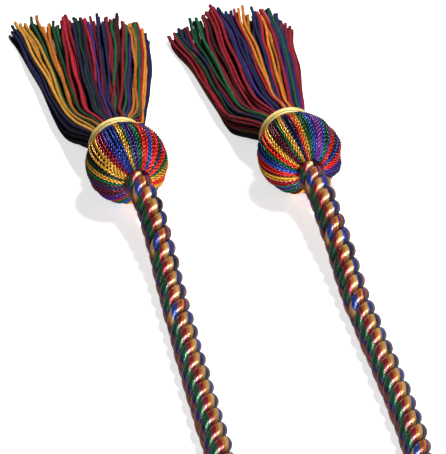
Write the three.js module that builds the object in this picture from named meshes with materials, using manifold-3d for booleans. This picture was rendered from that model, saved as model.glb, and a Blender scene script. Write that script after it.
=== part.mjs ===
// An honor cord: a twisted rope with a tassel on each end, lying on a flat surface, in millimetres, +Z up.
// The origin is on the surface, under the middle of the box round the two tassels.
// The tassels point along +Y, and the rope leaves them towards -Y.

import * as THREE from "three";
import { NURBSCurve } from "three/addons/curves/NURBSCurve.js";
import { mergeVertices } from "three/addons/utils/BufferGeometryUtils.js";
import Module from "manifold-3d";

const wasm = await Module();
wasm.setup();

// The rope.
const ROPE_DIAMETER = 9.5;
const ROPE_SIDES = 10;
const ROPE_STEPS = 80;

// The wound ball of a tassel, which rests on a small flat.
const HEAD_DIAMETER = 28;
const HEAD_LENGTH = 27.2;
const HEAD_SINK = 0.25;
const POCKET_DEPTH = 2.4;
const POCKET_CLEARANCE = 0.35;
const HEAD_SIDES = 28;
const HEAD_ROWS = 12;

// The gold ring behind the ball.
const COLLAR_DIAMETER = 17.4;
const COLLAR_THICKNESS = 3.4;
const COLLAR_SIDES = 24;
const COLLAR_ROUND = 8;

// The fringe, which comes down to the surface within its landing length.
const FRINGE_LENGTH = 90;
const FRINGE_LANDING = 27;
const PLUG_LENGTH = 6;
const LOCK_STEPS = 9;
const LOCK_SIDES = 8;

// The gap between pieces that touch, and the rope's gap to the surface.
const GAP = 0.3;
const FLOOR_GAP = 0.05;

// Each tassel: where its ball stands, how far the ball and the fringe's fan turn to the left of +Y in degrees,
// the fan from collar to tips, and its locks from left to right. In the fan, along, left, right and thick are
// shares of the fringe's length. A lock's side and half its width are shares of the fan's reach on that
// side, its reach is a share of the fringe's length, and its height is a share of the fan's thickness.
const TASSELS = {
  left: {
    x: -13.1,
    y: -45.5,
    ballTurn: 18,
    fanTurn: 8,
    fan: [
      { along: 0.0, left: 0.072, right: 0.072, thick: 0.145 },
      { along: 0.05, left: 0.092, right: 0.095, thick: 0.15 },
      { along: 0.12, left: 0.112, right: 0.122, thick: 0.155 },
      { along: 0.32, left: 0.175, right: 0.182, thick: 0.15 },
      { along: 0.6, left: 0.222, right: 0.228, thick: 0.125 },
      { along: 1.0, left: 0.31, right: 0.244, thick: 0.085 },
    ],
    locks: [
      { side: -0.94, half: 0.075, reach: 1.0, height: 0.9 },
      { side: -0.8, half: 0.1, reach: 0.985, height: 1.02 },
      { side: -0.6, half: 0.13, reach: 1.0, height: 0.95 },
      { side: -0.4, half: 0.11, reach: 0.975, height: 1.05 },
      { side: -0.2, half: 0.125, reach: 0.955, height: 0.98 },
      { side: 0.0, half: 0.12, reach: 0.975, height: 1.04 },
      { side: 0.2, half: 0.115, reach: 0.95, height: 0.96 },
      { side: 0.4, half: 0.13, reach: 0.955, height: 1.03 },
      { side: 0.6, half: 0.11, reach: 0.915, height: 0.97 },
      { side: 0.79, half: 0.12, reach: 0.925, height: 1.02 },
      { side: 0.93, half: 0.085, reach: 0.86, height: 0.9 },
    ],
  },
  right: {
    x: 44.4,
    y: -39.7,
    ballTurn: 18,
    fanTurn: 12,
    fan: [
      { along: 0.0, left: 0.072, right: 0.072, thick: 0.145 },
      { along: 0.05, left: 0.098, right: 0.09, thick: 0.15 },
      { along: 0.12, left: 0.13, right: 0.112, thick: 0.155 },
      { along: 0.32, left: 0.18, right: 0.158, thick: 0.15 },
      { along: 0.6, left: 0.214, right: 0.197, thick: 0.125 },
      { along: 1.0, left: 0.275, right: 0.226, thick: 0.085 },
    ],
    locks: [
      { side: -0.93, half: 0.085, reach: 0.885, height: 0.9 },
      { side: -0.78, half: 0.12, reach: 0.925, height: 1.03 },
      { side: -0.59, half: 0.11, reach: 0.955, height: 0.97 },
      { side: -0.4, half: 0.13, reach: 0.985, height: 1.04 },
      { side: -0.2, half: 0.115, reach: 1.0, height: 0.96 },
      { side: 0.0, half: 0.125, reach: 0.965, height: 1.05 },
      { side: 0.2, half: 0.12, reach: 0.97, height: 0.97 },
      { side: 0.4, half: 0.12, reach: 0.945, height: 1.03 },
      { side: 0.6, half: 0.125, reach: 0.96, height: 0.95 },
      { side: 0.8, half: 0.11, reach: 0.94, height: 1.0 },
      { side: 0.93, half: 0.085, reach: 0.895, height: 0.9 },
    ],
  },
};

// The rope's route between the two balls, chosen by hand, as the points that shape a smooth curve: x and y,
// and the height of its middle above its resting height as a share of the drop from the ball's middle.
const ROUTE = [
  [-3.4, -75, 0.74],
  [-0.2, -92, 0.3],
  [2.6, -107, 0.03],
  [11.4, -156, 0],
  [17, -184, 0],
  [21.5, -207, 0],
  [14.5, -224, 0],
  [-1, -231, 0],
  [-36, -229.5, 0],
  [-49, -240, 0],
  [-55.5, -260, 0],
  [-46, -310, 0],
  [-54.5, -378, 0],
  [-55, -423.5, 0],
  [-32, -436.5, 0],
  [-9, -423.5, 0],
  [-9.5, -390, 0],
  [-2, -330, 0],
  [-12, -284, 0],
  [-9.5, -257, 0],
  [13, -245, 0],
  [35, -257, 0],
  [39, -285, 0],
  [30, -340, 0],
  [35.5, -393, 0],
  [34.5, -424, 0],
  [57, -437, 0],
  [79, -424, 0],
  [81, -393, 0],
  [71, -330, 0],
  [85.5, -240, 0],
  [80, -190, 0],
  [72.5, -153, 0],
  [63.6, -117, 0],
  [60, -100, 0.1],
  [56.4, -82, 0.6],
];

const ropeRadius = ROPE_DIAMETER / 2;
const headRadius = HEAD_DIAMETER / 2;
const headHeight = headRadius - HEAD_SINK;
const ropeHeight = ropeRadius + FLOOR_GAP;
const pocketRadius = ropeRadius + POCKET_CLEARANCE;
const collarRadius = COLLAR_DIAMETER / 2;
const collarTube = COLLAR_THICKNESS / 2;
const plugRadius = collarRadius - collarTube - GAP;

// How far from the ball's middle its surface is, along its axis, at a distance from the axis.
function headAxial(radius) {
  return (HEAD_LENGTH / 2) * Math.sqrt(1 - (radius / headRadius) ** 2);
}

const seatAxial = headAxial(collarRadius);
const pocketAxial = headAxial(pocketRadius) - POCKET_DEPTH;
const collarAxial = seatAxial + GAP + collarTube;

// The direction that lies a turn in degrees to the left of +Y, on the surface.
function heading(turn) {
  const angle = THREE.MathUtils.degToRad(turn);
  return new THREE.Vector3(-Math.sin(angle), Math.cos(angle), 0);
}

// The point at a distance along a tassel's axis from the middle of its ball, towards the fringe.
function axisPoint(tassel, distance) {
  const middle = new THREE.Vector3(tassel.x, tassel.y, headHeight);
  return middle.addScaledVector(heading(tassel.ballTurn), distance);
}

// Stands a shape that was turned round +Y on a tassel's axis, its -Y end towards the fringe.
function placeOnAxis(mesh, tassel) {
  mesh.position.set(tassel.x, tassel.y, headHeight);
  mesh.rotation.z = THREE.MathUtils.degToRad(tassel.ballTurn) + Math.PI;
  return mesh;
}

// A geometry as a solid, and a solid back as a geometry.
function toSolid(geometry) {
  const bare = geometry.clone();
  bare.deleteAttribute("normal");
  bare.deleteAttribute("uv");
  const merged = mergeVertices(bare, 1e-4);
  const vertProperties = merged.attributes.position.array;
  const triVerts = new Uint32Array(merged.index.array);
  return new wasm.Manifold(
    new wasm.Mesh({ numProp: 3, vertProperties, triVerts }),
  );
}

function toGeometry(solid) {
  const mesh = solid.getMesh();
  const geometry = new THREE.BufferGeometry();
  const position = new THREE.BufferAttribute(mesh.vertProperties, 3);
  geometry.setAttribute("position", position);
  geometry.setIndex(new THREE.BufferAttribute(mesh.triVerts, 1));
  geometry.computeVertexNormals();
  return geometry;
}

// A shape stood on a tassel's axis, as a solid.
function solidOnAxis(geometry, tassel) {
  const mesh = placeOnAxis(new THREE.Mesh(geometry), tassel);
  mesh.updateMatrix();
  return toSolid(mesh.geometry.applyMatrix4(mesh.matrix));
}

// A solid without what would lie under the surface.
function cutAtSurface(solid) {
  const size = 4 * FRINGE_LENGTH;
  const block = new THREE.BoxGeometry(size, size, size);
  block.translate(0, 0, -size / 2);
  return solid.subtract(toSolid(block));
}

function material(color, roughness) {
  return new THREE.MeshStandardMaterial({ color, roughness, metalness: 0 });
}

function named(geometry, look, name) {
  const mesh = new THREE.Mesh(geometry, look);
  mesh.name = name;
  return mesh;
}

// The rope's middle line: a smooth cubic curve that starts and ends straight in the two balls.
function ropeLine() {
  const { left, right } = TASSELS;
  const start = pocketAxial + GAP;
  const straight = start + ROPE_DIAMETER;
  const drop = headHeight - ropeHeight;
  const points = [axisPoint(left, -start), axisPoint(left, -straight)];
  for (const [x, y, lift] of ROUTE)
    points.push(new THREE.Vector3(x, y, ropeHeight + lift * drop));
  points.push(axisPoint(right, -straight), axisPoint(right, -start));
  const degree = 3;
  const spans = points.length - degree;
  const knots = [];
  for (let i = -degree; i <= spans + degree; i++)
    knots.push(THREE.MathUtils.clamp(i, 0, spans));
  const shaping = points.map((p) => new THREE.Vector4(p.x, p.y, p.z, 1));
  return new NURBSCurve(degree, knots, shaping);
}

// A round section takes two sides for each of its curve segments.
function makeCord() {
  const section = new THREE.Shape();
  section.absarc(0, 0, ropeRadius, 0, 2 * Math.PI, false);
  const geometry = new THREE.ExtrudeGeometry(section, {
    steps: ROPE_STEPS,
    curveSegments: ROPE_SIDES / 2,
    bevelEnabled: false,
    extrudePath: ropeLine(),
  });
  return named(geometry, material(0x7a5326, 0.35), "cord");
}

// The ball: a pocket for the rope on its near pole, a flat seat for the collar on its far pole, and the
// small flat that it rests on.
function makeHead(tassel, name) {
  const profile = [
    new THREE.Vector2(0, -seatAxial),
    new THREE.Vector2(collarRadius, -seatAxial),
  ];
  const from = -Math.acos(collarRadius / headRadius);
  const to = Math.acos(pocketRadius / headRadius);
  for (let i = 1; i <= HEAD_ROWS; i++) {
    const angle = from + ((to - from) * i) / HEAD_ROWS;
    const radius = headRadius * Math.cos(angle);
    const axial = (HEAD_LENGTH / 2) * Math.sin(angle);
    profile.push(new THREE.Vector2(radius, axial));
  }
  profile.push(new THREE.Vector2(pocketRadius, pocketAxial));
  profile.push(new THREE.Vector2(0, pocketAxial));
  const ball = new THREE.LatheGeometry(profile, HEAD_SIDES);
  const solid = cutAtSurface(solidOnAxis(ball, tassel));
  return named(toGeometry(solid), material(0x7a2540, 0.4), name);
}

function makeCollar(tassel, name) {
  const profile = [];
  for (let i = 0; i <= COLLAR_ROUND; i++) {
    const angle = (2 * Math.PI * i) / COLLAR_ROUND;
    const radius = collarRadius + collarTube * Math.cos(angle);
    const axial = -collarAxial + collarTube * Math.sin(angle);
    profile.push(new THREE.Vector2(radius, axial));
  }
  const geometry = new THREE.LatheGeometry(profile, COLLAR_SIDES);
  return placeOnAxis(named(geometry, material(0xd9a93a, 0.4), name), tassel);
}

// A value of a fan's table at a share of the way along it, in millimetres.
function fanValue(fan, column, along) {
  let i = 1;
  while (i < fan.length - 1 && fan[i].along < along) i++;
  const a = fan[i - 1];
  const b = fan[i];
  const share = (along - a.along) / (b.along - a.along);
  return FRINGE_LENGTH * THREE.MathUtils.lerp(a[column], b[column], share);
}

// A point of the fringe: side runs from -1 at its left edge to 1 at its right one, along from 0 at the
// collar to 1 at the tips, and level from 0 underneath to 1 on top.
function fanPoint(tassel, side, along, level) {
  const { ballTurn, fanTurn } = tassel;
  const distance = along * FRINGE_LENGTH;
  const landed = THREE.MathUtils.smoothstep(distance, 0, FRINGE_LANDING);
  const straight = heading(fanTurn);
  const early = heading(ballTurn).sub(straight);
  const turn = THREE.MathUtils.lerp(ballTurn, fanTurn, landed);
  const across = heading(turn - 90);
  const reach = fanValue(tassel.fan, side < 0 ? "left" : "right", along);
  const point = axisPoint(tassel, collarAxial);
  point.addScaledVector(straight, distance);
  point.addScaledVector(early, distance * (1 - along) ** 2);
  point.addScaledVector(across, side * reach);
  const edge = Math.sqrt(1 - 0.9 * Math.min(1, side * side));
  const thick = fanValue(tassel.fan, "thick", along) * edge;
  point.z = (headHeight - thick / 2) * (1 - landed) + level * thick;
  return point;
}

// One lock: rings of points in the fan, joined by quads and closed at both ends. It starts just past the
// collar and reaches a little below the surface, where it is cut flat.
function lockGeometry(tassel, lock) {
  const positions = [];
  const index = [];
  const start = (collarTube + GAP) / FRINGE_LENGTH;
  for (let i = 0; i <= LOCK_STEPS; i++) {
    const along = THREE.MathUtils.lerp(start, lock.reach, i / LOCK_STEPS);
    for (let j = 0; j < LOCK_SIDES; j++) {
      const angle = (2 * Math.PI * (j + 0.5)) / LOCK_SIDES;
      const side = lock.side + lock.half * Math.cos(angle);
      const level = 0.46 + 0.54 * lock.height * Math.sin(angle);
      const point = fanPoint(tassel, side, along, level);
      positions.push(point.x, point.y, point.z);
    }
  }
  for (let i = 0; i < LOCK_STEPS; i++)
    for (let j = 0; j < LOCK_SIDES; j++) {
      const a = i * LOCK_SIDES + j;
      const b = i * LOCK_SIDES + ((j + 1) % LOCK_SIDES);
      index.push(a, a + LOCK_SIDES, b, b, a + LOCK_SIDES, b + LOCK_SIDES);
    }
  const last = LOCK_STEPS * LOCK_SIDES;
  for (let j = 1; j < LOCK_SIDES - 1; j++) {
    index.push(0, j, j + 1);
    index.push(last, last + j + 1, last + j);
  }
  const geometry = new THREE.BufferGeometry();
  const position = new THREE.Float32BufferAttribute(positions, 3);
  geometry.setAttribute("position", position);
  geometry.setIndex(index);
  return geometry;
}

// The fringe: its locks joined to the plug that passes through the collar.
function makeFringe(tassel, name) {
  const plug = new THREE.CylinderGeometry(
    plugRadius,
    plugRadius,
    PLUG_LENGTH,
    HEAD_SIDES,
  );
  plug.translate(0, -seatAxial - GAP - PLUG_LENGTH / 2, 0);
  let solid = solidOnAxis(plug, tassel);
  for (const lock of tassel.locks)
    solid = solid.add(toSolid(lockGeometry(tassel, lock)));
  const cut = cutAtSurface(solid);
  return named(toGeometry(cut), material(0x3b1a34, 0.9), name);
}

const honorCord = new THREE.Group();
honorCord.add(makeCord());
for (const [side, tassel] of Object.entries(TASSELS)) {
  honorCord.add(
    makeHead(tassel, side + "_head"),
    makeCollar(tassel, side + "_collar"),
    makeFringe(tassel, side + "_fringe"),
  );
}

export default honorCord;
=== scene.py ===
# %% [markdown]
# # An honor cord, strand by strand
# The real thing is a satin rope about a metre and a half long with a tassel at each end. Each tassel has a
# ball wound from shiny yarn, a gold ring of the same yarn, and a soft matt fringe. Everything here is made of
# strands, so the lesson builds one straight strand with mesh operators, copies it with an Array modifier, and
# then bends the copies along lines that are worked out for each piece.

# %% Load the solid model, which says where every piece goes
import math
import bmesh
import bpy
import numpy as np
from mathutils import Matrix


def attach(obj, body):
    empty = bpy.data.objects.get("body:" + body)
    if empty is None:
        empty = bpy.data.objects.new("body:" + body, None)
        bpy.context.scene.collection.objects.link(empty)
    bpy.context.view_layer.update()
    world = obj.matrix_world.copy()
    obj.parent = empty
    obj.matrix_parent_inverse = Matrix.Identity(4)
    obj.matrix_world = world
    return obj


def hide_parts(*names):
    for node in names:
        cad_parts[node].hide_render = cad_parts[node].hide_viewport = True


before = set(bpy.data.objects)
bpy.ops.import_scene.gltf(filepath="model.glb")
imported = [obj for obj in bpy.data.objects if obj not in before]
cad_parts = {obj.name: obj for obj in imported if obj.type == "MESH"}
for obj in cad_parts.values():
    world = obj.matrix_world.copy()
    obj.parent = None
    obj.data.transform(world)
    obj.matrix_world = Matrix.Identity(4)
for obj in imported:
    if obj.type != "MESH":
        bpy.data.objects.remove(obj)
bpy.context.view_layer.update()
MM = 0.001

# %% [markdown]
# ## The camera
# The picture was taken from the rope's side of the tassels, looking down at them at 36 degrees. The lens is
# a long one, so the two ropes hardly narrow towards the back. It is set first, because it decides which part
# of the rope lies outside the picture.

# %% Camera
VIEW_HEIGHT = math.radians(36)
VIEW_DISTANCE = 1.350
VIEW_CENTRE = (0.019, -0.0632, 0.0)
LENS = 321.5

camera = bpy.data.objects.new("camera", bpy.data.cameras.new("camera"))
bpy.context.scene.collection.objects.link(camera)
camera.location = (
    VIEW_CENTRE[0],
    VIEW_CENTRE[1] - VIEW_DISTANCE * math.cos(VIEW_HEIGHT),
    VIEW_DISTANCE * math.sin(VIEW_HEIGHT),
)
camera.rotation_euler = (math.pi / 2 - VIEW_HEIGHT, 0, 0)
camera.data.lens = LENS
camera.data.sensor_width = 36
bpy.context.scene.camera = camera
print("camera at", [round(v, 3) for v in camera.location])

# %% [markdown]
# ## The measures of the two tassels
# They repeat the solid model's own sizes, in millimetres, so every strand lies where its solid lies. Only the
# ring is a little slimmer than its solid, as the picture shows it. A tassel's axis is turned a little to the
# left of straight back. Its fringe spreads in a fan, whose half widths, thickness and reach are shares of
# the fringe's length, given at shares of the way along it or across it.

# %% Sizes
BALL_RADIUS = 14.0
BALL_HALF_LENGTH = 13.6
BALL_HEIGHT = 13.75
COLLAR_RADIUS = 8.2
COLLAR_AXIAL = 12.72
ROPE_RADIUS = 4.75
ROPE_HEIGHT = 4.8
ROPE_START = 10.565
FRINGE_LENGTH = 90.0
FRINGE_LANDING = 27.0

TASSELS = {
    "left": {
        "middle": (-13.1, -45.5),
        "ball_turn": 18,
        "fan_turn": 8,
        "along": [0, 0.05, 0.12, 0.32, 0.6, 1],
        "left": [0.072, 0.092, 0.112, 0.175, 0.222, 0.31],
        "right": [0.072, 0.095, 0.122, 0.182, 0.228, 0.244],
        "thick": [0.145, 0.15, 0.155, 0.15, 0.125, 0.085],
        "reach_side": [-1, -0.6, -0.2, 0, 0.2, 0.4, 0.6, 0.8, 1],
        "reach": [1, 1, 0.955, 0.98, 0.95, 0.96, 0.92, 0.925, 0.85],
    },
    "right": {
        "middle": (44.4, -39.7),
        "ball_turn": 18,
        "fan_turn": 12,
        "along": [0, 0.05, 0.12, 0.32, 0.6, 1],
        "left": [0.072, 0.098, 0.13, 0.18, 0.214, 0.275],
        "right": [0.072, 0.09, 0.112, 0.158, 0.197, 0.226],
        "thick": [0.145, 0.15, 0.155, 0.15, 0.125, 0.085],
        "reach_side": [-1, -0.78, -0.4, -0.2, 0, 0.4, 0.6, 0.8, 1],
        "reach": [0.88, 0.925, 0.985, 1, 0.965, 0.95, 0.96, 0.94, 0.88],
    },
}


def heading(turn):
    """The direction on the floor that lies a turn in degrees to the left of straight back."""
    angle = np.radians(turn)
    return np.stack([-np.sin(angle), np.cos(angle), 0 * angle], axis=-1)


def axis_point(tassel, distance):
    """A point on a tassel's axis, a distance from the ball's middle towards the fringe."""
    return np.array([*tassel["middle"], BALL_HEIGHT]) + distance * heading(tassel["ball_turn"])


print("ball", 2 * BALL_RADIUS, "mm, rope", 2 * ROPE_RADIUS, "mm, fringe", FRINGE_LENGTH, "mm")


# %% [markdown]
# ## The rope's line
# The rope leaves one ball, comes down to the floor under its own weight, and runs out of the picture. A metre
# of it lies in loose folds beyond the picture's lower edge, and comes back to the other ball. The line could
# be made of arcs and straights, but a real rope has no such joins. So a few given points shape one
# smooth NURBS curve, and the curve is then read at even steps. Each point has its place on the floor and its
# height, as a share of the drop from the ball's middle.

# %% Rope line
ROUTE = [
    [-3.4, -75, 0.74],
    [-0.2, -92, 0.3],
    [2.6, -107, 0.03],
    [11.4, -156, 0],
    [17, -184, 0],
    [21.5, -207, 0],
    [14.5, -224, 0],
    [-1, -231, 0],
    [-36, -229.5, 0],
    [-49, -240, 0],
    [-55.5, -260, 0],
    [-46, -310, 0],
    [-54.5, -378, 0],
    [-55, -423.5, 0],
    [-32, -436.5, 0],
    [-9, -423.5, 0],
    [-9.5, -390, 0],
    [-2, -330, 0],
    [-12, -284, 0],
    [-9.5, -257, 0],
    [13, -245, 0],
    [35, -257, 0],
    [39, -285, 0],
    [30, -340, 0],
    [35.5, -393, 0],
    [34.5, -424, 0],
    [57, -437, 0],
    [79, -424, 0],
    [81, -393, 0],
    [71, -330, 0],
    [85.5, -240, 0],
    [80, -190, 0],
    [72.5, -153, 0],
    [63.6, -117, 0],
    [60, -100, 0.1],
    [56.4, -82, 0.6],
]


def smooth_line(points):
    """The points of one smooth NURBS curve that a few chosen points shape."""
    curve = bpy.data.curves.new("line", "CURVE")
    curve.dimensions = "3D"
    spline = curve.splines.new("NURBS")
    spline.points.add(len(points) - 1)
    for shaping, point in zip(spline.points, points):
        shaping.co = (*point, 1)
    spline.order_u = 4
    spline.use_endpoint_u = True
    spline.resolution_u = 40
    holder = bpy.data.objects.new("line", curve)
    wire = bpy.data.meshes.new_from_object(holder)
    line = np.empty(3 * len(wire.vertices))
    wire.vertices.foreach_get("co", line)
    bpy.data.objects.remove(holder)
    bpy.data.curves.remove(curve)
    bpy.data.meshes.remove(wire)
    return line.reshape(-1, 3)


def distances(line):
    """How far along a line each of its points is."""
    steps = np.linalg.norm(np.diff(line, axis=-2), axis=-1)
    start = np.zeros(steps.shape[:-1] + (1,))
    return np.concatenate([start, np.cumsum(steps, axis=-1)], axis=-1)


def even_line(line, rows):
    """The same line with evenly spaced points."""
    along = distances(line)
    wanted = np.linspace(0, along[-1], rows + 1)
    return np.stack([np.interp(wanted, along, line[:, i]) for i in range(3)], axis=1)


left, right = TASSELS["left"], TASSELS["right"]
straight = ROPE_START + 2 * ROPE_RADIUS
drop = BALL_HEIGHT - ROPE_HEIGHT
shaping_points = [axis_point(left, -ROPE_START), axis_point(left, -straight)]
shaping_points += [[x, y, ROPE_HEIGHT + lift * drop] for x, y, lift in ROUTE]
shaping_points += [axis_point(right, -straight), axis_point(right, -ROPE_START)]
ROPE_ROWS = 1040
rope_line = even_line(smooth_line(shaping_points), ROPE_ROWS)
rope_along = distances(rope_line)
rope_length = rope_along[-1]
print("rope line:", round(rope_length, 1), "mm, a row every", round(rope_length / ROPE_ROWS, 2), "mm")

# %% [markdown]
# ## Strands from one template
# A strand is a long thin tube. It could be a curve with a round bevel, but then its colours could not follow
# the twist. Here a cone operator makes one short closed tube with its own UV map, its walls are cut into
# rows, and an Array modifier lays as many copies side by side as the piece has strands. Every vertex then
# knows its strand, its row and its place round the tube, and is moved to where the real strand runs. The
# operator lays the tube's two caps in the lower half of its UV map, and that tells the walls from the caps.

# %% Strand helpers
SPACING = 4.0
LOWEST = 0.05


def straight_strands(name, count, sides, rows):
    """Closed straight tubes side by side, as one mesh with a UV map."""
    shape = bmesh.new()
    shape.loops.layers.uv.new("strand")
    bmesh.ops.create_cone(
        shape, cap_ends=True, segments=sides, radius1=1, radius2=1, depth=1, calc_uvs=True
    )
    walls = [edge for edge in shape.edges if abs(edge.verts[0].co.z - edge.verts[1].co.z) > 0.5]
    bmesh.ops.subdivide_edges(shape, edges=walls, cuts=rows - 1)
    template = bpy.data.meshes.new(name + "_template")
    shape.to_mesh(template)
    shape.free()
    holder = bpy.data.objects.new(name + "_template", template)
    bpy.context.scene.collection.objects.link(holder)
    copies = holder.modifiers.new("copies", "ARRAY")
    copies.count = count
    copies.use_relative_offset = False
    copies.use_constant_offset = True
    copies.constant_offset_displace = (SPACING, 0, 0)
    view = bpy.context.evaluated_depsgraph_get()
    mesh = bpy.data.meshes.new_from_object(holder.evaluated_get(view))
    bpy.data.objects.remove(holder)
    bpy.data.meshes.remove(template)
    mesh.name = name
    return mesh


def strand_places(mesh, sides, rows):
    """For each vertex its strand, its row and its angle round the strand."""
    flat = np.empty(3 * len(mesh.vertices))
    mesh.vertices.foreach_get("co", flat)
    x, y, z = flat.reshape(-1, 3).T
    strand = np.rint(x / SPACING).astype(int)
    row = np.rint((z + 0.5) * rows).astype(int)
    angle = np.arctan2(-(x - SPACING * strand), y)
    step = 2 * math.pi / sides
    return strand, row, np.rint(angle / step) * step


def lay_strands(name, centres, first, second, sides, turn=None, **marks):
    """Bends straight strands along their centre lines, which are arrays of strand, row and x, y, z.

    first and second are the two half widths of each section as vectors. turn is added to the U of the UV
    map, and its V runs along the strand in millimetres. marks are numbers for each strand, or for each
    strand and row, that the finish reads. One more mark, crown, is 1 on the strand's outermost line."""
    count, rows = centres.shape[0], centres.shape[1] - 1
    mesh = straight_strands(name, count, sides, rows)
    strand, row, angle = strand_places(mesh, sides, rows)
    across = np.cos(angle)[:, None] * first[strand, row]
    up = np.sin(angle)[:, None] * second[strand, row]
    places = (centres[strand, row] + across + up) * MM
    mesh.vertices.foreach_set("co", places.astype(np.float32).ravel())
    layer = mesh.uv_layers["strand"].uv
    flat = np.empty(2 * len(layer))
    layer.foreach_get("vector", flat)
    uv = flat.reshape(-1, 2)
    corner = np.empty(len(layer), dtype=np.int32)
    mesh.loops.foreach_get("vertex_index", corner)
    is_wall = uv[:, 1] > 0.499
    uv[:, 0] = np.where(is_wall, uv[:, 0], 0.5)
    if turn is not None:
        uv[:, 0] = turn[0][strand, row][corner] * uv[:, 0] + turn[1][strand, row][corner]
    uv[:, 1] = distances(centres)[strand, row][corner]
    layer.foreach_set("vector", uv.astype(np.float32).ravel())
    marks = {
        mark: numbers[strand] if numbers.ndim == 1 else numbers[strand, row]
        for mark, numbers in marks.items()
    }
    marks["crown"] = np.cos(angle)
    for mark, numbers in marks.items():
        layer = mesh.attributes.new(mark, "FLOAT", "POINT")
        layer.data.foreach_set("value", numbers.astype(np.float32))
    mesh.polygons.foreach_set("use_smooth", np.ones(len(mesh.polygons), dtype=bool))
    mesh.update()
    piece = bpy.data.objects.new(name, mesh)
    bpy.context.scene.collection.objects.link(piece)
    triangles = sum(len(face.vertices) - 2 for face in mesh.polygons)
    print(name, "has", count, "strands and", triangles, "triangles")
    return piece


def unit(vectors):
    """Vectors made one long."""
    return vectors / np.linalg.norm(vectors, axis=-1, keepdims=True)


def directions(lines):
    """The direction of travel at each point of one or more lines."""
    return unit(np.gradient(lines, axis=-2))


def keep_above_floor(piece):
    """Flattens what would lie in or under the floor."""
    flat = np.empty(3 * len(piece.data.vertices), dtype=np.float32)
    piece.data.vertices.foreach_get("co", flat)
    flat[2::3] = np.maximum(flat[2::3], LOWEST * MM)
    piece.data.vertices.foreach_set("co", flat)
    piece.data.update()


# %% [markdown]
# ## Dyes
# Rayon yarn comes in a few strong dyes, and the same ones return in every part of the cord. They are kept in
# one short table, as the colours seen in soft daylight.

# %% Dye table
DYES = {
    "gold": "C8902E",
    "tan": "D09C58",
    "bronze": "AC662E",
    "amber": "DE9C3C",
    "orange": "D47C24",
    "rust": "9A4A20",
    "scarlet": "C8220F",
    "red": "A5182A",
    "crimson": "861024",
    "maroon": "4A0F1C",
    "green": "105230",
    "pine": "12301F",
    "blue": "1F3A8C",
    "navy": "1B1D48",
    "purple": "3B2370",
    "magenta": "6A2A7A",
}
DYE_NAMES = list(DYES)


def linear(code):
    """A colour code as linear red, green and blue."""
    parts = [int(code[i : i + 2], 16) / 255 for i in (0, 2, 4)]
    return [p / 12.92 if p < 0.04045 else ((p + 0.055) / 1.055) ** 2.4 for p in parts] + [1]


def dye_numbers(names):
    """The place of each named dye in the table, as a share of the table."""
    return np.array([(DYE_NAMES.index(name) + 0.5) / len(DYE_NAMES) for name in names])


print(len(DYES), "dyes:", ", ".join(DYES))


# %% [markdown]
# ## The rope
# Three fat plies are laid round each other to the right, and each ply is twisted the other way, so that its
# threads end up running along the rope. That is why every colour stands in a column across the rope, from
# blue through gold and red to green. A bump map could paint this on a plain tube, but the rope's outline
# would stay straight, so the plies are real tubes. Each ply's section is an ellipse that leans on its
# neighbours. The number of plies that pass by between the two balls is a whole one, so both ends start alike,
# and the lay is tighter near the balls, where the rope was drawn through.

# %% Rope plies
PLIES = 3
PLY_STEP = 2 * math.pi / PLIES
LAY = 21.7
PLY_MIDDLE = 2.5
PLY_DEEP = 2.25
PLY_WIDE = 2.5
PLY_SIDES = 20
FIRST_ANGLE = math.radians(-42)
TIGHTER_TURN = math.radians(134)
TIGHTER_LENGTH = 26


def tighter(distance):
    """The extra turn near a ball, where the rope was drawn tight."""
    return TIGHTER_TURN * (1 - np.exp(-distance / TIGHTER_LENGTH))


passes = round(PLIES * rope_length / LAY)
turning = (math.pi + passes * PLY_STEP - 2 * FIRST_ANGLE - 2 * TIGHTER_TURN) / rope_length
extra = tighter(rope_along) + TIGHTER_TURN - tighter(rope_length - rope_along)
rope_forward = directions(rope_line)
rope_side = unit(np.cross([0, 0, 1], rope_forward))
rope_up = np.cross(rope_forward, rope_side)

ply = np.arange(PLIES)[:, None]
angle = turning * rope_along[None, :] + extra[None, :] + ply * PLY_STEP + FIRST_ANGLE
outward = np.cos(angle)[..., None] * rope_side + np.sin(angle)[..., None] * rope_up
around = -np.sin(angle)[..., None] * rope_side + np.cos(angle)[..., None] * rope_up
lean = math.atan(turning * PLY_MIDDLE)
ply_wide = around * math.cos(lean) - rope_forward * math.sin(lean)
ply_centres = rope_line + PLY_MIDDLE * outward
print(PLIES, "plies pass by", passes, "times and lean by", round(math.degrees(lean), 1), "degrees")

# %% [markdown]
# ## The order of the rope's colours
# From the ball, the bumps are numbered. Each shows the same order of colours, but some plies were twisted
# harder, and show it turned or in duskier threads. The letters name these kinds of bump, and the order
# drifts a little on the way. Both tassels show the same, so the count starts at each ball. Every ply changes
# from one count to the other half way along the rope, where it passes underneath.

# %% Bump colours
BUMP_KINDS = "ABCDABCDEABCDECDCDEC"
KIND_SHIFT = {"A": -0.34, "B": 0.0, "C": 0.0, "D": 0.02, "E": -0.03}
KIND_DUSK = {"A": 0.0, "B": 0.1, "C": 1.0, "D": 0.2, "E": 0.8}
KIND_GIRTH = {"A": 0.9, "B": 0.98, "C": 1.06, "D": 1.0, "E": 1.04}
COLOUR_START = {"left": -0.12, "right": -0.17}
DRIFT = 0.12
DRIFT_LENGTH = 140
DRIFT_MOST = 1.5
GIRTH_BLUR = 10

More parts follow.
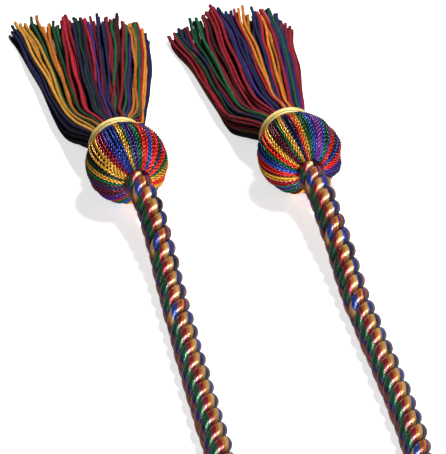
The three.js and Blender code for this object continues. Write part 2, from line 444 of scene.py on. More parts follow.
halfway = np.abs(rope_along[None, :] - rope_length / 2)
under = np.cos(angle + math.pi / 2)
turn_under = np.argmax(np.where(halfway < LAY / 2, under, -2), axis=1)
near_left = np.arange(ROPE_ROWS + 1)[None, :] < turn_under[:, None]
near_angle = np.where(near_left, angle, math.pi - angle)
near_distance = np.where(near_left, rope_along[None, :], rope_length - rope_along[None, :])
plain_angle = turning * near_distance + tighter(near_distance) + FIRST_ANGLE
ply_place = np.rint((near_angle - plain_angle) / PLY_STEP)
bump = (PLIES * np.floor((near_angle + math.pi / 2) / (2 * math.pi)) - ply_place).astype(int)
kinds = np.array(list(BUMP_KINDS))[np.mod(bump, len(BUMP_KINDS))]
shift = np.vectorize(KIND_SHIFT.get)(kinds)
dusk = np.vectorize(KIND_DUSK.get)(kinds)
drift = DRIFT * np.minimum(near_distance / DRIFT_LENGTH, DRIFT_MOST)
colour_sign = np.where(near_left, 1.0, -1.0)
colour_start = np.where(near_left, COLOUR_START["left"], COLOUR_START["right"])
colour_turn = near_angle / math.pi + shift + drift + colour_start
print("bumps counted from each ball:", int(bump.min()), "to", int(bump.max()))

girth_rows = np.vectorize(KIND_GIRTH.get)(kinds)
blur = np.ones(2 * GIRTH_BLUR + 1) / (2 * GIRTH_BLUR + 1)
padded = [np.pad(row, GIRTH_BLUR, mode="edge") for row in girth_rows]
girth = np.stack([np.convolve(row, blur, mode="valid") for row in padded])
rope = lay_strands(
    "rope",
    ply_centres,
    outward * PLY_DEEP * girth[..., None],
    ply_wide * PLY_WIDE * girth[..., None],
    PLY_SIDES,
    turn=(colour_sign, colour_turn),
    dusk=dusk,
    tone=0.92 + 0.1 * np.sin(1.7 * bump),
)
keep_above_floor(rope)

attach(rope, "root")
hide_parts("cord")

# %% [markdown]
# ## Two-ply yarn
# The balls are wound from cabled yarn, two thin plies twisted together, which gives every turn its row of
# small shiny beads. A twisted texture on one tube would miss the beads on the ball's outline, so each ply is
# a strand of its own that spirals round the yarn's line.

# %% Yarn helper
PLY_OFFSET = 0.26
PLY_RADIUS = 0.27


def twisted_yarn(lines, normals, width, pitch, starts):
    """Centre lines and half widths of the two plies of each yarn, and how high each lies, from -1 to 1."""
    forward = directions(lines)
    normals = unit(normals - forward * np.sum(normals * forward, axis=-1, keepdims=True))
    binormals = np.cross(forward, normals)
    angle = 2 * math.pi * distances(lines) / pitch + starts[:, None]
    pairs = []
    for half in (0, math.pi):
        swing = np.cos(angle + half)[..., None] * normals + np.sin(angle + half)[..., None] * binormals
        pairs.append(lines + PLY_OFFSET * width * swing)
    centres = np.concatenate(pairs)
    first = np.concatenate([PLY_RADIUS * width * normals] * 2)
    second = np.concatenate([PLY_RADIUS * width * binormals] * 2)
    return centres, first, second, np.concatenate([np.cos(angle), -np.cos(angle)])


# %% [markdown]
# ## The wound balls
# Each yarn runs like a line of longitude from the gold ring over the ball, and bends into the hole that the
# rope comes out of. They crowd together at both ends, so they grow thinner there, and some slip under their
# neighbours. A few yarns of the right ball are slack and stand off it. One long yarn could be wound by a
# physics solver, but the turns would not lie where the picture has them. A dark core, squeezed from a sphere,
# closes the gaps behind them, and its near-black colour is painted shade. Each ply also carries painted light
# and shade: lighter on top of its twist, darker where it dips under the other.

# %% Ball windings
BALL_DYES = {
    "left": [
        ("purple", 3), ("maroon", 4), ("navy", 2), ("maroon", 1), ("green", 2), ("gold", 2), ("pine", 2),
        ("gold", 2), ("gold", 3), ("crimson", 2), ("purple", 2), ("blue", 3), ("gold", 2), ("green", 1),
        ("purple", 2), ("green", 2), ("scarlet", 3), ("blue", 2), ("scarlet", 3), ("pine", 1), ("blue", 1),
        ("scarlet", 3), ("green", 2), ("gold", 4), ("scarlet", 4), ("gold", 3), ("navy", 4), ("green", 3),
        ("scarlet", 3), ("purple", 3), ("gold", 3), ("blue", 3), ("green", 2), ("crimson", 2),
    ],
    "right": [
        ("purple", 2), ("green", 2), ("crimson", 3), ("gold", 3), ("crimson", 1), ("scarlet", 2), ("blue", 3),
        ("green", 2), ("scarlet", 2), ("gold", 2), ("maroon", 3), ("green", 1), ("gold", 2), ("navy", 2),
        ("scarlet", 1), ("orange", 1), ("gold", 1), ("green", 2), ("blue", 2), ("magenta", 3), ("blue", 1),
        ("green", 2), ("purple", 1), ("scarlet", 3), ("navy", 1), ("blue", 1), ("purple", 1), ("scarlet", 4),
        ("purple", 5), ("navy", 3), ("gold", 3), ("green", 4), ("scarlet", 3), ("blue", 4), ("gold", 3),
        ("maroon", 3), ("green", 2),
    ],
}
FIRST_YARN = {"left": -135, "right": -140}
YARNS = 84
YARN_WIDTH = 1.2
YARN_PITCH = 2.9
YARN_ROWS = 92
RIM_RADIUS = 1.3
HOLE_YARN_RADIUS = 4.3
SLACK = {"left": [(-60, 25, 0.3)], "right": [(112, 11, 1.9), (142, 11, 1.6), (80, 12, 0.8)]}
UNDER_RING = 0.86
CROWD_RADIUS = 9
CROWD_WIDTH = 4
CORE_INSET = 0.85 * YARN_WIDTH
CORE_END = 0.8
CORE_LOWEST = 0.1


def ball_profile(inset):
    """The line of one yarn from under the ring to inside the hole, as distance from the axis and along it."""
    long, wide = BALL_HALF_LENGTH - inset, BALL_RADIUS - inset
    start = -math.acos(COLLAR_RADIUS * UNDER_RING / wide)
    turns = np.linspace(start, math.pi / 2, 400)
    out = wide * np.cos(turns)
    along = long * np.sin(turns)
    normal = np.arctan2(np.sin(turns) / long, np.cos(turns) / wide)
    rim = out - RIM_RADIUS * np.cos(normal)
    last = np.argmin(np.where(turns > 0, np.abs(rim - HOLE_YARN_RADIUS - RIM_RADIUS), 99))
    bend = np.linspace(normal[last], math.pi, 30)[1:]
    middle = (rim[last], along[last] - RIM_RADIUS * math.sin(normal[last]))
    out = np.concatenate([out[:last], middle[0] + RIM_RADIUS * np.cos(bend), [HOLE_YARN_RADIUS]])
    along = np.concatenate([along[:last], middle[1] + RIM_RADIUS * np.sin(bend), [middle[1] - 0.8]])
    return np.stack([out, along, 0 * out], axis=1)


def wind_ball(side, tassel, seed):
    """The yarns of one ball, as a piece."""
    rng = np.random.default_rng(seed)
    profile = even_line(ball_profile(YARN_WIDTH / 2), YARN_ROWS)
    share = np.linspace(0, 1, YARN_ROWS + 1)
    azimuth = np.radians(FIRST_YARN[side] + (np.arange(YARNS) + 0.5) * 360 / YARNS)
    wander = rng.normal(0, 0.25, YARNS)[:, None] * np.sin(math.pi * share)
    wander = wander + rng.normal(0, 0.12, (YARNS, 1)) * np.sin(3 * math.pi * share)
    azimuth = azimuth[:, None] + np.radians(360 / YARNS) * wander
    crowd = np.clip((CROWD_RADIUS - profile[:, 0]) / CROWD_WIDTH, 0, 1)
    depth = rng.uniform(-0.28, 0.22, (YARNS, 1)) - 0.45 * rng.uniform(0, 1, (YARNS, 1)) * crowd
    out = profile[:, 0] + depth
    for centre, spread, height in SLACK[side]:
        near = np.exp(-(((np.degrees(azimuth) - centre) / spread) ** 2))
        out = out + height * near * np.sin(math.pi * share) ** 2
    axis = -heading(tassel["ball_turn"])
    across = np.array([-axis[1], axis[0], 0])
    radial = np.cos(azimuth)[..., None] * np.array([0, 0, 1]) + np.sin(azimuth)[..., None] * across
    lines = axis_point(tassel, 0) + out[..., None] * radial + profile[:, 1][:, None] * axis
    width = YARN_WIDTH * (1 - 0.3 * crowd)[None, :, None]
    starts = rng.uniform(0, 2 * math.pi, YARNS)
    outward = lines - axis_point(tassel, 0)
    centres, first, second, height = twisted_yarn(lines, outward, width, YARN_PITCH, starts)
    names = [name for name, number in BALL_DYES[side] for _ in range(number)]
    dye = np.tile(dye_numbers(names), 2)
    # Painted light and shade: each ply is lighter where it rides on top of the twist and darker where it dips
    # under the other, on top of a random tone for each yarn.
    tone = np.tile(rng.uniform(0.75, 1.1, YARNS), 2)[:, None] * (0.8 + 0.6 * height)
    ball = lay_strands(side + "_ball", centres, first, second, 5, dye=dye, tone=tone)
    keep_above_floor(ball)
    return ball


def ball_core(side, tassel):
    """The body inside a winding, near black as painted shade for the gaps: a sphere squeezed along the
    tassel's axis, with flattened ends.
    """
    shape = bmesh.new()
    bmesh.ops.create_uvsphere(shape, u_segments=48, v_segments=24, radius=1)
    radius = BALL_RADIUS - CORE_INSET
    half_length = BALL_HALF_LENGTH - CORE_INSET
    across = np.cross(-heading(tassel["ball_turn"]), [0, 0, 1])
    for vertex in shape.verts:
        x, y, z = vertex.co
        bulge = 0.02 * min(1, max(0, (abs(z) - 0.82) / 0.1))
        z = math.copysign(min(abs(z), CORE_END + bulge), z)
        place = axis_point(tassel, -half_length * z) + radius * (x * np.array([0, 0, 1]) + y * across)
        place[2] = max(place[2], CORE_LOWEST)
        vertex.co = place * MM
    bmesh.ops.recalc_face_normals(shape, faces=shape.faces)
    mesh = bpy.data.meshes.new(side + "_ball_core")
    shape.to_mesh(mesh)
    shape.free()
    piece = bpy.data.objects.new(side + "_ball_core", mesh)
    bpy.context.scene.collection.objects.link(piece)
    return piece


balls = []
cores = []
for seed, (side, tassel) in enumerate(TASSELS.items()):
    ball = wind_ball(side, tassel, 10 + seed)
    core = ball_core(side, tassel)
    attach(ball, "root")
    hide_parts(side + "_head")
    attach(core, "root")
    balls.append(ball)
    cores.append(core)

# %% [markdown]
# ## The gold rings
# Behind each ball the neck is bound with gold yarn. It could be a torus with painted grooves, but the ring's
# outline shows its turns. So it is one long yarn that goes round and round the neck, and works its way once
# over the ring's own section while it does so.

# %% Gold rings
COLLAR_TURNS = 9
COLLAR_TUBE = 1.05
COLLAR_ROWS = 1400
COLLAR_YARN_WIDTH = 1.05


def wind_ring(side, tassel):
    """One long gold yarn wound round the neck, as a piece."""
    share = np.linspace(0, 1, COLLAR_ROWS + 1)
    round_neck = 2 * math.pi * COLLAR_TURNS * share
    round_section = 2 * math.pi * share + math.pi
    out = COLLAR_RADIUS + COLLAR_TUBE * np.cos(round_section)
    along = COLLAR_AXIAL + COLLAR_TUBE * np.sin(round_section)
    axis = heading(tassel["ball_turn"])
    across = np.cross(axis, [0, 0, 1])
    radial = np.cos(round_neck)[:, None] * np.array([0, 0, 1]) + np.sin(round_neck)[:, None] * across
    line = axis_point(tassel, 0) + out[:, None] * radial + along[:, None] * axis
    middle = axis_point(tassel, 0) + COLLAR_RADIUS * radial + COLLAR_AXIAL * axis
    outward = unit(line - middle)
    sideways = np.cross(directions(line), outward)
    half = COLLAR_YARN_WIDTH / 2
    tone = 1 + 0.12 * np.sin(5.3 * round_section + 2 * round_neck)
    return lay_strands(
        side + "_ring", line[None], half * outward[None], half * sideways[None], 6, tone=tone[None]
    )


rings = []
for side, tassel in TASSELS.items():
    ring = wind_ring(side, tassel)
    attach(ring, "root")
    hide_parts(side + "_collar")
    rings.append(ring)

# %% [markdown]
# ## The fringes
# A fringe is a bundle of soft matt yarns that leaves the ring as thick as a finger, falls to the floor and
# spreads into a fan. A particle system could grow them, but they would not spread as in the picture, so each
# yarn gets a place across the fan and a level in its height, and follows the fan from there. Three layers on
# top keep the order of colours that the eye reads, and the yarns beneath them are mixed. Each wavers a
# little, in part with its neighbours, and they are cut by hand, so their ends are ragged.

# %% Fringe strands
TOP_DYES = {
    "left": (
        "navy navy amber amber gold green orange orange green red red red navy pine navy maroon red "
        "purple crimson navy navy crimson green maroon red green purple orange orange green red orange navy"
    ),
    "right": (
        "red red green navy crimson green green crimson maroon red red crimson navy purple navy navy navy "
        "red orange orange navy navy red orange orange crimson navy purple green navy purple crimson crimson"
    ),
}
UNDER_DYES = ["navy", "purple", "crimson", "maroon", "green", "pine", "navy", "red", "orange"]
UNDER_STRANDS = 84
STRAND_ROWS = 48
STRAND_WIDTH = 1.2
TOP_LAYERS = [(0, 0.85, 1.0), (0.5, 0.68, 0.88), (0.2, 0.45, 0.65)]
UNDER_LEVELS = (0.04, 0.5)
INSIDE_RING = 0.03
LOOSE_FROM = 0.25
WAVES = ((0.8, 0.045), (1.7, 0.022), (3.1, 0.01))
OWN_SHARE = 0.4
UNDER_SHADE = 0.6


def fan_points(tassel, side, along, level):
    """Points of the fan: side from -1 to 1, along from the ring to the tips, level from the floor up."""
    distance = along * FRINGE_LENGTH
    landed = np.clip(distance / FRINGE_LANDING, 0, 1)
    landed = landed * landed * (3 - 2 * landed)
    straight = heading(tassel["fan_turn"])
    early = heading(tassel["ball_turn"]) - straight
    turn = tassel["ball_turn"] + (tassel["fan_turn"] - tassel["ball_turn"]) * landed
    across = heading(turn - 90)
    left_reach = np.interp(along, tassel["along"], tassel["left"])
    right_reach = np.interp(along, tassel["along"], tassel["right"])
    reach = FRINGE_LENGTH * np.where(side < 0, left_reach, right_reach)
    point = axis_point(tassel, COLLAR_AXIAL) + distance[..., None] * straight
    point = point + (distance * (1 - along) ** 2)[..., None] * early
    point = point + (side * reach)[..., None] * across
    edge = np.sqrt(1 - 0.9 * np.minimum(1, side * side))
    thick = FRINGE_LENGTH * np.interp(along, tassel["along"], tassel["thick"]) * edge
    point[..., 2] = (BALL_HEIGHT - thick / 2) * (1 - landed) + level * thick
    return point


def lay_fringe(side_name, tassel, seed):
    """The strands of one fringe, as a piece."""
    rng = np.random.default_rng(seed)
    top = TOP_DYES[side_name].split()
    under = list(rng.choice(UNDER_DYES, UNDER_STRANDS))
    count = 3 * len(top) + UNDER_STRANDS
    row_side = np.linspace(-0.97, 0.97, len(top))
    step = row_side[1] - row_side[0]
    rows = [row_side + shift * step for shift, _, _ in TOP_LAYERS]
    spread = np.linspace(-0.95, 0.95, UNDER_STRANDS) + rng.uniform(-0.02, 0.02, UNDER_STRANDS)
    side = np.concatenate(rows + [rng.permutation(spread)])
    levels = [rng.uniform(low, high, len(top)) for _, low, high in TOP_LAYERS]
    level = np.concatenate(levels + [rng.uniform(*UNDER_LEVELS, UNDER_STRANDS)])
    reach = np.interp(side, tassel["reach_side"], tassel["reach"]) + rng.uniform(-0.045, 0.04, count)
    share = np.linspace(0, 1, STRAND_ROWS + 1)[None, :]
    along = -INSIDE_RING + (reach[:, None] + INSIDE_RING) * share
    waves = np.zeros((count, STRAND_ROWS + 1))
    for number, size in WAVES:
        shared = rng.uniform(0, 2 * math.pi) + 2 * math.pi * 1.2 * side[:, None]
        waves += size * np.sin(2 * math.pi * number * share + shared)
        own = rng.uniform(0, 2 * math.pi, (count, 1))
        own_size = OWN_SHARE * size * rng.normal(0, 1, (count, 1))
        waves += own_size * np.sin(2 * math.pi * number * 1.3 * share + own)
    loose = np.clip(along / LOOSE_FROM, 0, 1)
    side = np.clip(side[:, None] + waves * loose, -1.02, 1.02)
    level = level[:, None] + 0.05 * loose * np.sin(2 * math.pi * share + rng.uniform(0, 6, (count, 1)))
    lines = fan_points(tassel, side, along, np.clip(level, 0, 1))
    width = STRAND_WIDTH * rng.uniform(0.85, 1.1, (count, 1)) * (1 + 0.12 * share**6)
    lines[..., 2] = np.maximum(lines[..., 2], width / 2)
    forward = directions(lines)
    sideways = unit(np.cross(forward, np.array([0, 0, 1.0])))
    upwards = np.cross(sideways, forward)
    half = (width / 2)[..., None]
    dye = dye_numbers(top + top + top + under)
    tone = rng.uniform(0.55, 1.3, count)
    # Painted shade: the yarns beneath the three top layers are darker, for the shadow of the layers above
    # them.
    tone[2 * len(top) :] *= UNDER_SHADE
    return lay_strands(
        side_name + "_fringe_yarns", lines, upwards * half, -sideways * half, 6, dye=dye, tone=tone
    )


fringes = []
for seed, (side, tassel) in enumerate(TASSELS.items()):
    fringe = lay_fringe(side, tassel, 20 + seed)
    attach(fringe, "root")
    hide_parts(side + "_fringe")
    fringes.append(fringe)

# %% [markdown]
# ## Finishes
# Rayon satin is made of endless smooth threads, so it has a sharp shine that runs along the thread. Three
# effects return in each finish, and are node groups: fine thread lines that follow the piece's UV map, a slow
# change of tone such as every dye lot has, and painted shade at the sides of a strand, where less light gets
# in between it and its neighbours.

# %% Node groups


def new_group(name, inputs, outputs):
    """An empty shader node group with number, colour or vector sockets."""
    group = bpy.data.node_groups.new(name, "ShaderNodeTree")
    for socket, kind, value in inputs:
        made = group.interface.new_socket(socket, in_out="INPUT", socket_type=kind)
        made.default_value = value
    for socket, kind in outputs:
        group.interface.new_socket(socket, in_out="OUTPUT", socket_type=kind)
    return group, group.nodes.new("NodeGroupInput"), group.nodes.new("NodeGroupOutput")


def math_node(tree, operation, *inputs):
    """A Math node, whose inputs are numbers or sockets."""
    node = tree.nodes.new("ShaderNodeMath")
    node.operation = operation
    for i, value in enumerate(inputs):
        if isinstance(value, (int, float)):
            node.inputs[i].default_value = value
        else:
            tree.links.new(value, node.inputs[i])
    return node.outputs[0]


def thread_lines_group():
    """Fine threads that run at a steady place round a strand: the height of their ridges."""
    group, into, out = new_group(
        "thread lines", [("Threads", "NodeSocketFloat", 30), ("Slant", "NodeSocketFloat", 0)],
        [("Height", "NodeSocketFloat")],
    )
    uv = group.nodes.new("ShaderNodeUVMap")
    uv.uv_map = "strand"
    parts = group.nodes.new("ShaderNodeSeparateXYZ")
    group.links.new(uv.outputs[0], parts.inputs[0])
    slant = math_node(group, "MULTIPLY", parts.outputs[1], into.outputs["Slant"])
    place = math_node(group, "ADD", parts.outputs[0], slant)
    turns = math_node(group, "MULTIPLY", place, into.outputs["Threads"])
    wave = math_node(group, "SINE", math_node(group, "MULTIPLY", turns, 2 * math.pi))
    group.links.new(math_node(group, "MULTIPLY_ADD", wave, 0.5, 0.5), out.inputs[0])
    return group


def dye_lot_group():
    """A dye that is a little darker in places, and rougher where it is darker."""
    group, into, out = new_group(
        "dye lot",
        [("Color", "NodeSocketColor", (1, 1, 1, 1)), ("Scale", "NodeSocketFloat", 400),
         ("Amount", "NodeSocketFloat", 0.3), ("Base Roughness", "NodeSocketFloat", 0.4)],
        [("Color", "NodeSocketColor"), ("Roughness", "NodeSocketFloat")],
    )
    place = group.nodes.new("ShaderNodeTexCoord")
    noise = group.nodes.new("ShaderNodeTexNoise")
    noise.inputs["Detail"].default_value = 3
    group.links.new(place.outputs["Object"], noise.inputs["Vector"])
    group.links.new(into.outputs["Scale"], noise.inputs["Scale"])
    swing = math_node(group, "SUBTRACT", noise.outputs["Fac"], 0.5)
    swing = math_node(group, "MULTIPLY", swing, into.outputs["Amount"])
    bright = math_node(group, "MULTIPLY_ADD", swing, 2, 1)
    scale = group.nodes.new("ShaderNodeVectorMath")
    scale.operation = "SCALE"
    group.links.new(into.outputs["Color"], scale.inputs[0])
    group.links.new(bright, scale.inputs["Scale"])
    group.links.new(scale.outputs[0], out.inputs["Color"])
    roughness = math_node(group, "SUBTRACT", into.outputs["Base Roughness"], swing)
    group.links.new(roughness, out.inputs["Roughness"])
    return group


def strand_shade_group():
    """A dye on a round strand, with painted shade at its sides, where strands meet, times the strand's tone
    mark.
    """
    group, into, out = new_group(
        "strand shade",
        [("Color", "NodeSocketColor", (1, 1, 1, 1)), ("Deep", "NodeSocketFloat", 0.3)],
        [("Color", "NodeSocketColor")],
    )
    crown = group.nodes.new("ShaderNodeAttribute")
    crown.attribute_name = "crown"
    tone = group.nodes.new("ShaderNodeAttribute")
    tone.attribute_name = "tone"
    # Painted shade: from a strand's crown to its sides the colour falls to the share that the group is given.
    opening = group.nodes.new("ShaderNodeMapRange")
    opening.interpolation_type = "SMOOTHSTEP"
    opening.inputs["From Min"].default_value = -0.1
    opening.inputs["From Max"].default_value = 0.85
    opening.inputs["To Max"].default_value = 1
    group.links.new(crown.outputs["Fac"], opening.inputs["Value"])
    group.links.new(into.outputs["Deep"], opening.inputs["To Min"])
    shade = math_node(group, "MULTIPLY", opening.outputs["Result"], tone.outputs["Fac"])
    scale = group.nodes.new("ShaderNodeVectorMath")
    scale.operation = "SCALE"
    group.links.new(into.outputs["Color"], scale.inputs[0])
    group.links.new(shade, scale.inputs["Scale"])
    group.links.new(scale.outputs[0], out.inputs["Color"])
    return group


thread_lines = thread_lines_group()
dye_lot = dye_lot_group()
strand_shade = strand_shade_group()
print("node groups:", thread_lines.name, "/", dye_lot.name, "/", strand_shade.name)

# %% [markdown]
# ## Putting a finish together
# All the finishes are one kind of yarn, and differ in dye, shine and grain. So the steps that they share are
# written once: a material, a node group with its own numbers, a colour ramp from dyes, and the last joins
# from colour and thread lines to the shader.

# %% Material helpers


def new_material(name):
    """A material with its node tree and its Principled BSDF."""
    material = bpy.data.materials.new(name)
    material.use_nodes = True
    return material, material.node_tree, material.node_tree.nodes["Principled BSDF"]


def place_group(tree, group, **values):
    """A node group in a material, with its own numbers."""
    node = tree.nodes.new("ShaderNodeGroup")
    node.node_tree = group
    for name, value in values.items():
        node.inputs[name.replace("_", " ")].default_value = value
    return node


def colour_bands(tree, bands, kind):
    """A colour ramp from pairs of place and dye."""
    ramp = tree.nodes.new("ShaderNodeValToRGB")
    ramp.color_ramp.interpolation = kind
    stops = ramp.color_ramp.elements
    while len(stops) < len(bands):
        stops.new(0.5)
    for stop, (place, code) in zip(stops, bands):
        stop.position = place
        stop.color = linear(code)
    return ramp


def finish_yarn(tree, shader, colour, lot, lines, depth, side_shade):
    """Joins colour, tone and thread lines to the shader.

    depth is how deep the lines are in metres, and the last argument is the share of colour that is left at a
    strand's sides, as painted shade where strands meet."""
    shade = place_group(tree, strand_shade, Deep=side_shade)
    tree.links.new(colour, shade.inputs["Color"])
    tree.links.new(shade.outputs["Color"], lot.inputs["Color"])
    tree.links.new(lot.outputs["Color"], shader.inputs["Base Color"])
    tree.links.new(lot.outputs["Roughness"], shader.inputs["Roughness"])
    bump_node = tree.nodes.new("ShaderNodeBump")
    bump_node.inputs["Distance"].default_value = depth
    tree.links.new(lines, bump_node.inputs["Height"])
    tree.links.new(bump_node.outputs[0], shader.inputs["Normal"])


# %% [markdown]
# ## The rope's finish
# Each ply is a bundle of threads in about ten bands of dye, in a fixed order round the ply. The U of the UV
# map says where round the ply a point lies, turned by the twist, so a colour ramp lays the dyes in bands
# that follow the threads. Stripes across the rope would be simpler, but would not turn with the twist. The
# bands blend over a hair's width, and a little noise makes their edges waver. The satin is partly metallic,
# because such threads mirror the light in their own colour, and a clear coat adds the white glint.

# %% Rope satin
ROPE_BANDS = [
    (0.0, "rust"), (0.12, "blue"), (0.3, "tan"), (0.4, "bronze"), (0.46, "crimson"),
    (0.55, "green"), (0.71, "navy"), (0.79, "rust"), (0.88, "purple"), (0.94, "orange"),
]
DUSKY_BANDS = [
    (0.0, "rust"), (0.1, "navy"), (0.27, "tan"), (0.37, "bronze"), (0.44, "crimson"),
    (0.56, "green"), (0.72, "purple"), (0.82, "rust"),
]
BAND_EDGE = 0.008
BAND_WOBBLE = 0.05


def soft_bands(bands):
    """Bands of dye with a narrow blend between each two."""
    stops = []
    for i, (place, name) in enumerate(bands):
        end = bands[i + 1][0] if i + 1 < len(bands) else 1 + BAND_EDGE
        stops += [(place + BAND_EDGE, DYES[name]), (end - BAND_EDGE, DYES[name])]
    return stops


def rope_satin():
    """Satin whose colours follow the threads of each ply."""
    material, tree, shader = new_material("rope_satin")
    uv = tree.nodes.new("ShaderNodeUVMap")
    uv.uv_map = "strand"
    parts = tree.nodes.new("ShaderNodeSeparateXYZ")
    tree.links.new(uv.outputs[0], parts.inputs[0])
    place = tree.nodes.new("ShaderNodeTexCoord")
    noise = tree.nodes.new("ShaderNodeTexNoise")
    noise.inputs["Scale"].default_value = 300
    tree.links.new(place.outputs["Object"], noise.inputs["Vector"])
    wobble = math_node(tree, "MULTIPLY_ADD", noise.outputs["Fac"], BAND_WOBBLE, -BAND_WOBBLE / 2)
    turn = math_node(tree, "FRACT", math_node(tree, "ADD", parts.outputs[0], wobble))
    bright = colour_bands(tree, soft_bands(ROPE_BANDS), "LINEAR")
    dusky = colour_bands(tree, soft_bands(DUSKY_BANDS), "LINEAR")
    tree.links.new(turn, bright.inputs[0])
    tree.links.new(turn, dusky.inputs[0])
    dusk_value = tree.nodes.new("ShaderNodeAttribute")
    dusk_value.attribute_name = "dusk"
    mix = tree.nodes.new("ShaderNodeMix")
    mix.data_type = "RGBA"
    tree.links.new(dusk_value.outputs["Fac"], mix.inputs[0])
    tree.links.new(bright.outputs[0], mix.inputs[6])
    tree.links.new(dusky.outputs[0], mix.inputs[7])
    lot = place_group(tree, dye_lot, Scale=900, Amount=0.25, Base_Roughness=0.24)
    lines = place_group(tree, thread_lines, Threads=34)
    finish_yarn(tree, shader, mix.outputs[2], lot, lines.outputs[0], depth=0.00004, side_shade=0.05)
    shader.inputs["Metallic"].default_value = 0.4
    shader.inputs["Coat Weight"].default_value = 0.4
    shader.inputs["Coat Roughness"].default_value = 0.15
    return material


rope.data.materials.append(rope_satin())
print("rope finish:", rope.data.materials[0].name, "with", len(ROPE_BANDS), "bands of dye")

# %% [markdown]
# ## The finishes of the balls and fringes
# Here every strand has one dye, which its mesh keeps as a number. A constant colour ramp over the whole dye
# table turns the number back into the dye, so one material serves all the strands of a piece. The balls are
# as shiny as the rope. The fringes are soft spun yarn, so they are rough, hardly shine, and have a deeper
# grain.

# %% Ball and fringe yarns


def dyed_yarn(name, scale, amount, roughness, threads, slant, depth, side_shade):
    """Yarn whose dye is kept strand by strand on the piece."""
    material, tree, shader = new_material(name)
    dye = tree.nodes.new("ShaderNodeAttribute")
    dye.attribute_name = "dye"
    bands = [(i / len(DYES), code) for i, code in enumerate(DYES.values())]
    ramp = colour_bands(tree, bands, "CONSTANT")
    tree.links.new(dye.outputs["Fac"], ramp.inputs[0])
    lot = place_group(tree, dye_lot, Scale=scale, Amount=amount, Base_Roughness=roughness)
    lines = place_group(tree, thread_lines, Threads=threads, Slant=slant)
    finish_yarn(tree, shader, ramp.outputs[0], lot, lines.outputs[0], depth, side_shade)
    return material, shader


ball_yarn, shader = dyed_yarn(
    "ball_yarn", scale=700, amount=0.2, roughness=0.2, threads=7, slant=0.5, depth=0.00001, side_shade=0.05
)
shader.inputs["Metallic"].default_value = 0.5
for ball in balls:
    ball.data.materials.append(ball_yarn)

fringe_yarn, shader = dyed_yarn(
    "fringe_yarn", scale=500, amount=0.45, roughness=0.75, threads=3, slant=0.45, depth=0.0003, side_shade=0.2
)
shader.inputs["Specular IOR Level"].default_value = 0.25
for fringe in fringes:
    fringe.data.materials.append(fringe_yarn)
print("yarn finishes:", ball_yarn.name, "and", fringe_yarn.name)

# %% [markdown]
# ## The gold yarn and the dark core
# The rings are of one gold yarn, and the cores hide in shadow, so their near-black colour is painted shade
# for the gaps between the ball's yarns. Neither needs a table of dyes, so a plain yarn mixes two tones of one
# colour with noise, as an even dye looks under a lens.

# %% Gold yarn and the dark core


def plain_yarn(name, code, scale, amount, roughness):
    """Yarn of one dye."""
    material, tree, shader = new_material(name)
    place = tree.nodes.new("ShaderNodeTexCoord")
    noise = tree.nodes.new("ShaderNodeTexNoise")
    noise.inputs["Scale"].default_value = scale
    tree.links.new(place.outputs["Object"], noise.inputs["Vector"])
    darker = [0.7 * value for value in linear(code)[:3]] + [1]
    mix = tree.nodes.new("ShaderNodeMix")
    mix.data_type = "RGBA"
    mix.inputs[6].default_value = darker
    mix.inputs[7].default_value = linear(code)
    tree.links.new(noise.outputs["Fac"], mix.inputs[0])
    lot = place_group(tree, dye_lot, Scale=scale, Amount=amount, Base_Roughness=roughness)
    lines = place_group(tree, thread_lines, Threads=7, Slant=0.5)
    finish_yarn(tree, shader, mix.outputs[2], lot, lines.outputs[0], depth=0.00002, side_shade=0.5)
    return material, shader


gold_yarn, shader = plain_yarn("gold_yarn", "FFE488", scale=900, amount=0.25, roughness=0.3)
shader.inputs["Specular IOR Level"].default_value = 0.8
for ring in rings:
    ring.data.materials.append(gold_yarn)
# Painted shade: the core is near black, so the gaps between the ball's yarns read as shade.
core_shade_yarn, _ = plain_yarn("core_shade_yarn", "120A10", scale=900, amount=0.4, roughness=0.9)
for core in cores:
    core.data.materials.append(core_shade_yarn)
print("plain finishes:", gold_yarn.name, "and", core_shade_yarn.name)

# %% [markdown]
# ## The floor
# The cord lies on a plain white surface. It is white to the camera, but gives little light back to the cord,
# as it would wash the colours out, and a Light Path node tells the two cases apart. A little glow of its own
# keeps its shadows soft and pale.

# %% Floor
FLOOR_HALF = 4
FLOOR_SEEN = 0.9
FLOOR_GIVEN = 0.25
FLOOR_GLOW = 0.66

floor_shape = bmesh.new()
bmesh.ops.create_grid(floor_shape, x_segments=1, y_segments=1, size=FLOOR_HALF)
floor_mesh = bpy.data.meshes.new("floor")
floor_shape.to_mesh(floor_mesh)
floor_shape.free()
floor = bpy.data.objects.new("floor", floor_mesh)
bpy.context.scene.collection.objects.link(floor)
floor_material, tree, floor_shader = new_material("floor_white")
seen = tree.nodes.new("ShaderNodeLightPath").outputs["Is Camera Ray"]
grey = math_node(tree, "MULTIPLY_ADD", seen, FLOOR_SEEN - FLOOR_GIVEN, FLOOR_GIVEN)
glow = math_node(tree, "MULTIPLY", seen, FLOOR_GLOW)
tree.links.new(grey, floor_shader.inputs["Base Color"])
tree.links.new(glow, floor_shader.inputs["Emission Strength"])
floor_shader.inputs["Roughness"].default_value = 0.9
floor_shader.inputs["Emission Color"].default_value = (1, 1, 1, 1)
floor_mesh.materials.append(floor_material)
print("floor of", 2 * FLOOR_HALF, "m")

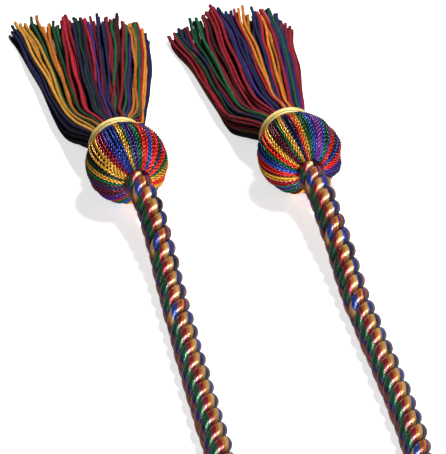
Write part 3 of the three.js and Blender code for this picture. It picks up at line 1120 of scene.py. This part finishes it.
# %% [markdown]
# ## The lights
# The light in the picture comes from behind on the right, high and soft, so the key light stands there and
# throws short shadows to the front left. What makes the satin glitter on its lower edges is the bright
# surface in front of it. A wide low panel stands for that glow. It lies lower than the floor, so light
# linking lets it reach the satin pieces alone, and a second, small panel lights just the balls. A weak light
# from the left opens the shadows there. The room is white to the camera, and dim to the cord.

# %% Lights
LIGHT_DISTANCE = 1.4
ROOM_SEEN = 0.97
ROOM_GIVEN = 0.07


def area_light(name, azimuth, height, wide, tall, power, pieces=()):
    """A soft light panel that looks at the tassels, and lights only some pieces if they are named.

    Azimuth 0 is the camera's side and 90 the right."""
    light = bpy.data.lights.new(name, "AREA")
    light.energy = power
    light.shape = "RECTANGLE"
    light.size = wide
    light.size_y = tall
    holder = bpy.data.objects.new(name, light)
    bpy.context.scene.collection.objects.link(holder)
    a, h = math.radians(azimuth), math.radians(height)
    away = np.array([math.sin(a) * math.cos(h), -math.cos(a) * math.cos(h), math.sin(h)])
    holder.location = np.array(VIEW_CENTRE) + LIGHT_DISTANCE * away
    holder.rotation_euler = (math.pi / 2 - h, 0, a)
    if pieces:
        lit = bpy.data.collections.new(name + " pieces")
        for piece in pieces:
            lit.objects.link(piece)
        holder.light_linking.receiver_collection = lit
        holder.light_linking.blocker_collection = lit


satin = [rope, *balls, *cores, *rings]
area_light("key", azimuth=128, height=70, wide=0.3, tall=0.3, power=30)
area_light("table glow", azimuth=22, height=-24, wide=0.9, tall=0.12, power=60, pieces=satin)
area_light("front panel", azimuth=18, height=12, wide=0.5, tall=0.12, power=14, pieces=[*balls, *cores])
area_light("left fill", azimuth=-70, height=45, wide=0.4, tall=0.4, power=1.5)
world = bpy.data.worlds.new("room")
bpy.context.scene.world = world
world.use_nodes = True
background = world.node_tree.nodes["Background"]
background.inputs["Color"].default_value = (1, 1, 1, 1)
seen = world.node_tree.nodes.new("ShaderNodeLightPath").outputs["Is Camera Ray"]
strength = math_node(world.node_tree, "MULTIPLY_ADD", seen, ROOM_SEEN - ROOM_GIVEN, ROOM_GIVEN)
world.node_tree.links.new(strength, background.inputs["Strength"])
bpy.context.scene.view_settings.view_transform = "Standard"
print("lights:", ", ".join(light.name for light in bpy.data.lights))
